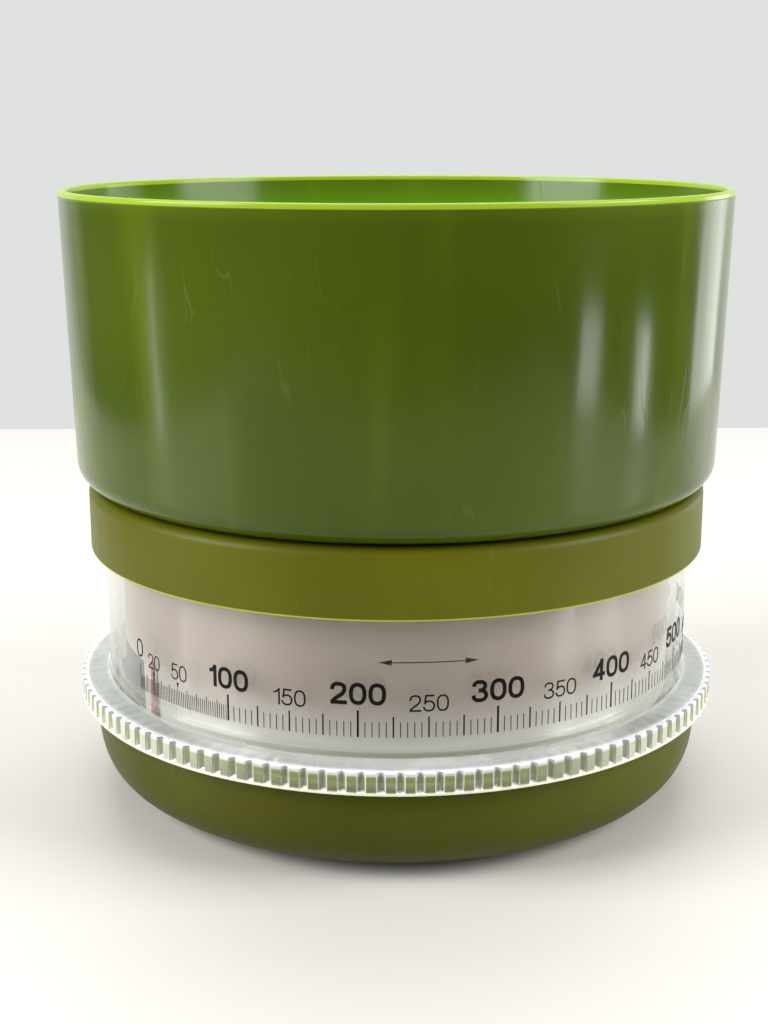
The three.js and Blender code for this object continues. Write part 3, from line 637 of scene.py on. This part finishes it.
def steel():
    finish = Finish(bpy.data.materials.new("bright steel"))
    brushed = finish.noise(300.0, 3.0, 0.6, finish.stretched((1, 1, 14)))
    spots = finish.between(finish.noise(420.0, 4.0, 0.7), 0.58, 0.78)
    colour = finish.mix(finish.between(brushed, 0.3, 0.7), srgb(166, 165, 162), srgb(188, 187, 184))
    colour = finish.mix(spots * 0.5, colour, srgb(120, 112, 100))
    rough = 0.26 + finish.between(brushed, 0.3, 0.7) * 0.14 + spots * 0.25
    return finish.ended({
        "Base Color": colour, "Metallic": 1.0, "Roughness": rough,
        "Normal": finish.bump(brushed - spots * 0.3, 0.00003, 0.5)})


def brass():
    finish = Finish(bpy.data.materials.new("dull brass"))
    turned_marks = finish.noise(340.0, 3.0, 0.6, finish.stretched((1, 1, 10)))
    tarnish = finish.between(finish.noise(180.0, 4.0, 0.65), 0.48, 0.74)
    colour = finish.mix(finish.between(turned_marks, 0.3, 0.7), srgb(184, 152, 82), srgb(200, 168, 96))
    colour = finish.mix(tarnish * 0.6, colour, srgb(128, 98, 52))
    rough = 0.28 + finish.between(turned_marks, 0.3, 0.7) * 0.1 + tarnish * 0.22
    return finish.ended({
        "Base Color": colour, "Metallic": 1.0, "Roughness": rough,
        "Normal": finish.bump(turned_marks, 0.00003, 0.5)})


def floor_paper():
    finish = Finish(bpy.data.materials.new("pale paper floor"))
    cloud = finish.noise(3.0, 3.0)
    colour = finish.mix(finish.between(cloud, 0.3, 0.7), srgb(204, 201, 196), srgb(210, 207, 202))
    return finish.ended({
        "Base Color": colour, "Roughness": 0.42, "Normal": finish.bump(finish.noise(900.0), 0.00005, 0.3)})


# ---- visible pieces -------------------------------------------------------------------------------------

def make_bowl(finish):
    """The pot: thin leaning wall, wide corner, foot ring, and a narrow band round the rim."""
    rim, bottom, top = size_of("bowl")
    across, up = BOWL_CORNER
    corner = rim - BOWL_LEAN
    foot_inner = size_of("platform_cap")[0] - DISC_INSET + DISC_PLAY
    under = bottom + BOWL_FOOT
    floor = under + BOWL_WALL
    outside = quarter(corner - across, bottom + up, across, up, BOWL_CURVE_STEPS)
    inside = quarter(corner - BOWL_WALL - up, floor + up, up, up, BOWL_CURVE_STEPS)
    section = [(0, floor), *reversed(inside)]
    section += rounded([
        inside[0] + (0,), (rim - BOWL_WALL, top, 0.6), (rim, top, 0.6), (rim, top - RIM_BAND, 0.2),
        (rim - RIM_STEP, top - RIM_BAND - RIM_STEP, 0), outside[0] + (0,)])[1:-1]
    section += outside
    section += [(foot_inner + 0.4, bottom), (foot_inner, bottom + 0.4), (foot_inner, under), (0, under)]
    finish_piece(turned(section), "moulded_bowl", "bowl_body", finish, ["bowl"])


def make_cap(finish):
    """The weighing platform: a skirted cap with a low disc that centres the bowl."""
    reach, bottom, top = size_of("platform_cap")
    face = top - DISC_RISE
    disc = reach - DISC_INSET
    inner = reach - CAP_WALL
    ceiling = face - CAP_WALL
    section = rounded([
        (0, top, 0), (disc, top, 0.4), (disc, face, 0.2), (reach, face, 2.2), (reach, bottom, 0.5),
        (inner, bottom, 0.3), (inner, ceiling, 0.8), (0, ceiling, 0)])
    finish_piece(turned(section), "weighing_platform", "platform_body", finish,
                 ["platform_cap"])


def press_flutes(piece, low, high, reach):
    """Presses the flutes into the flange's edge: first their middles, then their flanks."""
    step = 360 / (FLUTES * FLUTE_STEPS)
    for offset, depth in ((0, FLUTE_DEPTH), (1, FLUTE_DEPTH * FLUTE_FLANK)):
        for vertex in piece.data.vertices:
            x, y, z = vertex.co
            azimuth = math.degrees(math.atan2(y, x)) - FLUTE_START
            row = round(azimuth / step) % FLUTE_STEPS
            at_flute = min(row, FLUTE_STEPS - row) == offset
            outside = math.hypot(x, y) > (reach - 1.2) * MM
            vertex.select = at_flute and outside and low * MM < z < high * MM
        for edge in piece.data.edges:
            edge.select = False
        for face in piece.data.polygons:
            face.select = False
        bpy.ops.object.mode_set(mode="EDIT")
        share = 1 - depth / reach
        bpy.ops.transform.resize(value=(share, share, 1), center_override=(0, 0, 0))
        done()


def make_ring(finish):
    """The clear dial ring with its fluted grip flange."""
    reach, bottom, top = size_of("scale_ring")
    outer = reach - FLANGE_REACH
    inner = outer - RING_WALL
    flange = bottom + SPIGOT
    crown = flange + FLANGE_HEIGHT
    section = rounded([
        (inner, bottom, 0.3), (outer, bottom, 0.3), (outer, flange, 0), (reach, flange, 0.2),
        (reach, flange + LIP, 0), (reach, flange + LIP + 0.55, 0), (reach, crown, 0.5),
        (outer + FLANGE_FILLET, crown + 0.25, 0), (outer, crown + 0.3, FLANGE_FILLET), (outer, top, 0.4),
        (inner, top, 0.4)])
    piece = turned(section, FLUTES * FLUTE_STEPS, FLUTE_START)
    pick(piece)
    edit("DESELECT")
    bpy.ops.mesh.select_mode(type="VERT")
    done()
    press_flutes(piece, flange + LIP + 0.3, crown + 0.1, reach)
    finish_piece(piece, "clear_dial_ring", "ring_body", finish, ["scale_ring"], 40)


def make_base(finish):
    """The tub: round underside, recesses for the feet and holes for the post's screws."""
    reach, bottom, top = size_of("base_housing")
    floor = bottom + BASE_FLOOR
    mouth = size_of("scale_ring")[0] - FLANGE_REACH + MOUTH_PLAY
    step = top - MOUTH_DEPTH
    seat_outer, seat_inner, seat_rise = POST_SEAT
    outside = quarter(BASE_FLAT, top - 0.6, reach - BASE_FLAT, top - 0.6 - bottom, 28, BASE_CURVE)
    inside = quarter(BASE_FLAT, top, reach - BASE_WALL - BASE_FLAT, top - floor, 20, BASE_CURVE)
    section = [(0, bottom), *reversed(outside)]
    section += [(reach - 0.2, top - 0.1), (reach - 0.6, top), (mouth + 0.3, top), (mouth, top - 0.3)]
    section += [(mouth, step), *[point for point in inside if point[1] < step]]
    section += [(seat_outer + 0.3, floor), (seat_outer, floor + seat_rise), (seat_inner, floor + seat_rise)]
    section += [(seat_inner, floor), (0, floor)]
    piece = turned(section)
    tools = []
    for number in range(1, 5):
        spot, radius = spot_of(f"foot_{number}")
        tools.append(cylinder(radius + 0.3, bottom - 1, bottom + 0.8, spot))
    for number in range(1, 4):
        spot, radius = spot_of(f"post_screw_{number}")
        tools.append(cylinder(radius + 0.3, bottom - 1, bottom + 2.3, spot))
        tools.append(cylinder(SCREW_HOLE, bottom, floor + 3, spot, 24))
    combine(piece, tools, "DIFFERENCE")
    finish_piece(piece, "base_tub", "base_body", finish, ["base_housing"])


def make_drum(finish):
    """The white drum behind the dial, with a boss for the guide rod and holes for the spindle's bracket."""
    reach, bottom, top = size_of("indicator_drum")
    hub = spot_of("upper_guide_bush")[1] + HUB_LAND
    inner = reach - DRUM_WALL
    floor = bottom + DRUM_FLOOR
    section = rounded([
        (hub, bottom, 0.2), (reach, bottom, 1.0), (reach, top, 0.4), (inner, top, 0.3),
        (inner, floor, 0.8), (hub, floor, 0.2)])
    piece = turned(section)
    rod, rod_radius = spot_of("guide_rod")
    bearing, bearing_radius = spot_of("spindle_floor_bearing")
    combine(piece, [cylinder(rod_radius + 1.7, bottom + 0.5, bottom + 8, rod)], "UNION")
    tools = [cylinder(rod_radius + 0.2, bottom + 1, bottom + 9, rod),
             cylinder(bearing_radius * 0.72, bottom - 1, floor + 1, bearing)]
    for number in (1, 2):
        spot = spot_of(f"bracket_screw_{number}")[0]
        tools.append(cylinder(SCREW_HOLE, bottom - 1, floor + 1, spot, 24))
    combine(piece, tools, "DIFFERENCE")
    finish_piece(piece, "white_drum", "base_body", finish, ["indicator_drum"])


def make_patch(finish):
    """The grey patch on the drum behind the zero."""
    reach, bottom = size_of("indicator_drum")[:2]
    root = reach - PATCH_ROOT
    low, high = (bottom + rise for rise in PATCH_RISE)
    section = [(root, low), (reach + INK, low), (reach + INK, high), (root, high)]
    piece = turned(section, PATCH_STEPS, PATCH_START, PATCH_SWEEP)
    finish_piece(piece, "drum_patch", "base_body", finish)


def make_foot(number, finish):
    """A round rubber foot with a hollow sole."""
    spot, radius = spot_of(f"foot_{number}")
    low, high = size_of(f"foot_{number}")[1:]
    piece = turned(rounded([
        (0, high, 0), (radius, high, 0.2), (radius, low, 0.6), (radius - 1.6, low, 0.2),
        (radius - 2.0, low + 0.4, 0.2), (0, low + 0.4, 0)]), 48)
    pick(piece)
    edit()
    bpy.ops.transform.translate(value=(spot[0] * MM, spot[1] * MM, 0))
    done()
    finish_piece(piece, f"rubber_foot_{number}", "base_body", finish, [f"foot_{number}"])


def make_spring(finish):
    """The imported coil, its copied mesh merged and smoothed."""
    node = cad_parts["load_spring"]
    piece = bpy.data.objects.new("coil_spring", node.data.copy())
    bpy.context.scene.collection.objects.link(piece)
    pick(piece)
    edit()
    bpy.ops.mesh.remove_doubles(threshold=1e-6)
    done()
    finish_piece(piece, "coil_spring", "base_body", finish, ["load_spring"], 60)
    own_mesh(piece)


# ---- dial print -----------------------------------------------------------------------------------------

dial_radius = (size_of("scale_ring")[0] - FLANGE_REACH) * MM


def along(grams):
    """Place of a load on the laid-out dial, in metres."""
    return math.radians(ZERO_ANGLE + grams * GRAM) * dial_radius


def plate(middle, low, high, width):
    """A flat upright rectangle of ink."""
    bpy.ops.mesh.primitive_plane_add(size=1, location=(middle, 0, (low + high) / 2 * MM),
                                     rotation=(math.pi / 2, 0, 0))
    bpy.ops.transform.resize(value=(width * MM, 1, (high - low) * MM),
                             center_override=(middle, 0, (low + high) / 2 * MM))


def make_ticks():
    """The tick marks: every 2 grams at the fine end, every 5 grams after it."""
    deselect()
    bpy.ops.mesh.primitive_plane_add(size=MM)
    piece = bpy.context.object
    edit()
    bpy.ops.mesh.delete(type="VERT")
    for grams in range(0, FINE_RANGE, 2):
        top, width = (TEN_TICK, 0.2) if grams % 10 == 0 else (SHORT_TICK, 0.16)
        if grams == 0:
            top = LONG_TICK
        plate(along(grams), TICK_FOOT, top, width)
    for grams in range(FINE_RANGE, FULL_LOAD + 5, 5):
        top, width = SHORT_TICK, 0.2
        if grams % 25 == 0:
            top, width = MIDDLE_TICK, 0.36
        if grams % 100 == 0:
            top, width = LONG_TICK, 0.5
        plate(along(grams), TICK_FOOT, top, width)
    done()
    return piece


def flat_shape(corners):
    """A flat filled outline of ink, its corners in millimetres."""
    deselect()
    bpy.ops.mesh.primitive_circle_add(vertices=len(corners), radius=MM, fill_type="NGON")
    piece = bpy.context.object
    for vertex, (across, up) in zip(piece.data.vertices, corners):
        vertex.co = (across * MM, 0, up * MM)
    return piece


def make_arrow():
    """The thin double arrow that shows which way the ring is turned."""
    middle = math.radians(ARROW_MIDDLE) * dial_radius / MM
    half = ARROW_LENGTH / 2
    long, thick = ARROW_HEAD
    pieces = []
    for side in (-1, 1):
        tip = middle + side * half
        corners = [(tip, ARROW_HEIGHT), (tip - side * long, ARROW_HEIGHT + thick / 2),
                   (tip - side * long, ARROW_HEIGHT - thick / 2)]
        pieces.append(flat_shape(corners if side < 0 else corners[::-1]))
    line = flat_shape([
        (middle - half + long / 2, ARROW_HEIGHT - ARROW_LINE / 2),
        (middle + half - long / 2, ARROW_HEIGHT - ARROW_LINE / 2),
        (middle + half - long / 2, ARROW_HEIGHT + ARROW_LINE / 2),
        (middle - half + long / 2, ARROW_HEIGHT + ARROW_LINE / 2)])
    pick(line)
    edit()
    bpy.ops.mesh.subdivide(number_cuts=10)
    done()
    return pieces + [line]


def make_wedge(grams):
    """The small wedge that points from a fine number to its tick."""
    middle = along(grams) / MM
    half, high = WEDGE
    low = TEN_TICK - 0.2
    return flat_shape([(middle, low), (middle + half, low + high), (middle - half, low + high)])


def smoothed(run):
    """A curve through the points of one stroke. A repeated first point closes it."""
    if len(run) == 2:
        return run
    closed = run[0] == run[-1]
    points = []
    for i in range(len(run) - 1):
        before = run[i - 1] if i else (run[-2] if closed else run[0])
        after = run[i + 2] if i + 2 < len(run) else (run[1] if closed else run[-1])
        for step in range(CURVE_STEPS):
            t = step / CURVE_STEPS
            points.append(tuple(
                0.5 * (2 * b + (c - a) * t + (2 * a - 5 * b + 4 * c - d) * t * t
                       + (3 * b - a - 3 * c + d) * t ** 3)
                for a, b, c, d in zip(before, run[i], run[i + 1], after)))
    return points + [run[-1]]


def stroke(points, weight):
    """A flat ribbon of ink along a line, its points and width in millimetres."""
    deselect()
    bpy.ops.mesh.primitive_grid_add(x_subdivisions=len(points) - 1, y_subdivisions=1, size=MM)
    piece = bpy.context.object
    closed = points[0] == points[-1]
    for i, (across, up) in enumerate(points):
        before = points[i - 1] if i else (points[-2] if closed else points[0])
        after = points[i + 1] if i + 1 < len(points) else (points[1] if closed else points[-1])
        run = math.hypot(after[0] - before[0], after[1] - before[1])
        side = (-(after[1] - before[1]) / run * weight / 2, (after[0] - before[0]) / run * weight / 2)
        piece.data.vertices[i].co = ((across - side[0]) * MM, 0, (up - side[1]) * MM)
        piece.data.vertices[i + len(points)].co = ((across + side[0]) * MM, 0, (up + side[1]) * MM)
    return piece


def make_number(label, grams, style):
    """A number of the dial, drawn in strokes and centred on its tick."""
    low, high, figure_width, weight = style
    gap = figure_width * 0.1 + 0.05
    widths = [figure_width * (NARROW_ONE if digit == "1" else 1) for digit in label]
    left = along(grams) / MM - (sum(widths) + gap * (len(label) - 1)) / 2
    half = weight / 2
    rise = high - low - weight
    pieces = []
    for digit, width in zip(label, widths):
        for run in FIGURES[digit]:
            points = [(left + half + across * (width - weight), low + half + up * rise)
                      for across, up in smoothed(run)]
            if len(run) == 2:
                (x0, z0), (x1, z1) = points
                long = math.hypot(x1 - x0, z1 - z0)
                end = ((x1 - x0) / long * half, (z1 - z0) / long * half)
                points = [(x0 - end[0], z0 - end[1]), (x1 + end[0], z1 + end[1])]
            pieces.append(stroke(points, weight))
        left += width + gap
    return pieces


def wrap(piece):
    """Wraps flat ink round the dial ring and gives it its thickness."""
    pick(piece)
    edit()
    bpy.ops.mesh.remove_doubles(threshold=1e-7)
    done()
    for vertex in piece.data.vertices:
        angle = vertex.co.x / dial_radius
        vertex.co = (dial_radius * math.sin(angle), -dial_radius * math.cos(angle), vertex.co.z)
    middle = piece.data.polygons[0]
    flip = middle.normal.x * middle.center.x + middle.normal.y * middle.center.y < 0
    modifier = piece.modifiers.new("ink", "SOLIDIFY")
    modifier.thickness = INK * MM
    modifier.offset = -1 if flip else 1
    bpy.ops.object.modifier_apply(modifier=modifier.name)
    edit()
    bpy.ops.mesh.normals_make_consistent(inside=False)
    done()
    return piece


def make_print(finish):
    """The whole dial print as one thin piece on the ring."""
    pieces = [make_ticks(), *make_arrow(), make_wedge(20), make_wedge(50)]
    for grams in range(100, FULL_LOAD, 100):
        pieces += make_number(str(grams), grams, HUNDREDS)
    for grams in range(150, FULL_LOAD + 1, 100):
        pieces += make_number(str(grams), grams, FIFTIES)
    for label, grams, style in FINE_NUMBERS:
        pieces += make_number(label, grams, style)
    finish_piece(wrap(merge(pieces)), "dial_print", "ring_body", finish)


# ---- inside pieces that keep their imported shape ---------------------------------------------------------

CARRIED_OVER = {
    "steel": ["platform_spider", "cap_screw_1", "cap_screw_2", "cap_screw_3", "column_screw", "load_column",
              "stop_clip", "carrier", "carrier_pin", "post_screw_1", "post_screw_2", "post_screw_3",
              "twisted_spindle", "spring_seat", "spindle_bracket", "bracket_screw_1",
              "bracket_screw_2", "guide_rod"],
    "brass": ["drum_nut", "spindle_collar", "spindle_floor_bearing", "spindle_top_bearing"],
    "nylon": ["drive_nut", "spindle_gear", "hub_gear", "lower_guide_bush", "upper_guide_bush"],
    "rubber": ["buffer_ring"],
    "red": ["pointer"],
    "white": ["guide_post"],
}


def coat_inside(finishes):
    for finish, nodes in CARRIED_OVER.items():
        for node in nodes:
            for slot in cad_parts[node].material_slots:
                slot.material = finishes[finish]


# ---- camera, light and floor ----------------------------------------------------------------------------

CAMERA_PLACE = (-0.00318, -0.41266, 0.17184)
CAMERA_DIP = 13.908  # degrees below level
CAMERA_ROLL = -0.094
CAMERA_LENS = 55.76
FLOOR_SIZE = 0.96
LIT_POINT = (0, 0, 0.09)

# Name, place, size and power of each soft light. The low and far ones only draw streaks on the bowl.
LIGHTS = [
    ("left", (-1.15, -0.40, 0.65), (0.8, 0.8), 26),
    ("right", (1.15, -0.30, 0.65), (0.8, 0.8), 21),
    ("above", (0.0, 0.5, 1.3), (1.2, 0.8), 14),
    ("front", (-0.3, -1.5, 0.9), (0.8, 0.6), 2),
    ("low right", (0.40, -0.23, 0.040), (0.06, 0.05), 0.09),
    ("low right edge", (0.42, -0.06, 0.040), (0.04, 0.05), 0.07),
    ("far right", (0.76, 0.56, 0.02), (0.34, 0.5), 1.5),
    ("low left", (-0.42, -0.08, 0.05), (0.02, 0.08), 0.045),
]


def make_camera():
    camera = bpy.data.cameras.new("camera")
    camera.sensor_fit = "VERTICAL"
    camera.sensor_height = 36
    camera.lens = CAMERA_LENS
    camera.clip_start = 0.01
    camera.clip_end = 50
    holder = bpy.data.objects.new("camera", camera)
    bpy.context.scene.collection.objects.link(holder)
    tilt = Matrix.Rotation(math.radians(90 - CAMERA_DIP), 4, "X")
    roll = Matrix.Rotation(math.radians(CAMERA_ROLL), 4, "Z")
    holder.matrix_world = Matrix.Translation(CAMERA_PLACE) @ tilt @ roll
    bpy.context.scene.camera = holder


def soft_light(name, place, size, power):
    """A rectangle of light turned towards the scale, which the camera doesn't see."""
    light = bpy.data.lights.new(name, "AREA")
    light.shape = "RECTANGLE"
    light.size, light.size_y = size
    light.energy = power
    holder = bpy.data.objects.new(name, light)
    bpy.context.scene.collection.objects.link(holder)
    aim = Vector(LIT_POINT) - Vector(place)
    holder.matrix_world = Matrix.Translation(place) @ aim.to_track_quat("-Z", "Y").to_matrix().to_4x4()
    holder.visible_camera = False


def make_floor(finish):
    deselect()
    bpy.ops.mesh.primitive_plane_add(size=FLOOR_SIZE)
    floor = bpy.context.object
    floor.name = "floor"
    floor.data.materials.append(finish)


def make_room():
    """A plain pale wall to the camera. Reflections see it too, but only far behind, in a dim room."""
    world = bpy.context.scene.world or bpy.data.worlds.new("world")
    bpy.context.scene.world = world
    room = Finish(world, "Generated")
    wall = room.node("ShaderNodeValToRGB", {"stops": [
        (0.78, (0.16, 0.16, 0.155, 1)), (0.90, (0.80, 0.81, 0.80, 1))]}, {0: room.axis("Y") * 0.5 + 0.5})
    seen = room.node("ShaderNodeLightPath", out="Is Camera Ray")
    colour = room.mix(seen, wall, (0.74, 0.755, 0.745, 1))
    room.ended({"Color": colour}, "ShaderNodeBackground", "ShaderNodeOutputWorld")
    bpy.context.scene.view_settings.view_transform = "Standard"


# ---- the whole scale ------------------------------------------------------------------------------------

finishes = {"steel": steel(), "brass": brass(), "nylon": nylon(), "rubber": rubber(), "red": red_plastic(),
            "white": white_plastic()}
make_camera()
make_floor(floor_paper())
make_room()
for light in LIGHTS:
    soft_light(*light)
make_bowl(bowl_green())
make_cap(olive_plastic("satin olive plastic of the platform", PLATFORM_PAINTED_SHADE_TONE, size_of("platform_cap")[1]))
make_ring(clear_plastic())
make_base(olive_plastic("satin olive plastic of the base with painted shade", BASE_PAINTED_SHADE_TONE, NO_SHARP_EDGE))
make_drum(finishes["white"])
make_patch(grey_patch())
for number in range(1, 5):
    make_foot(number, finishes["rubber"])
make_spring(finishes["steel"])
make_print(black_ink())
coat_inside(finishes)
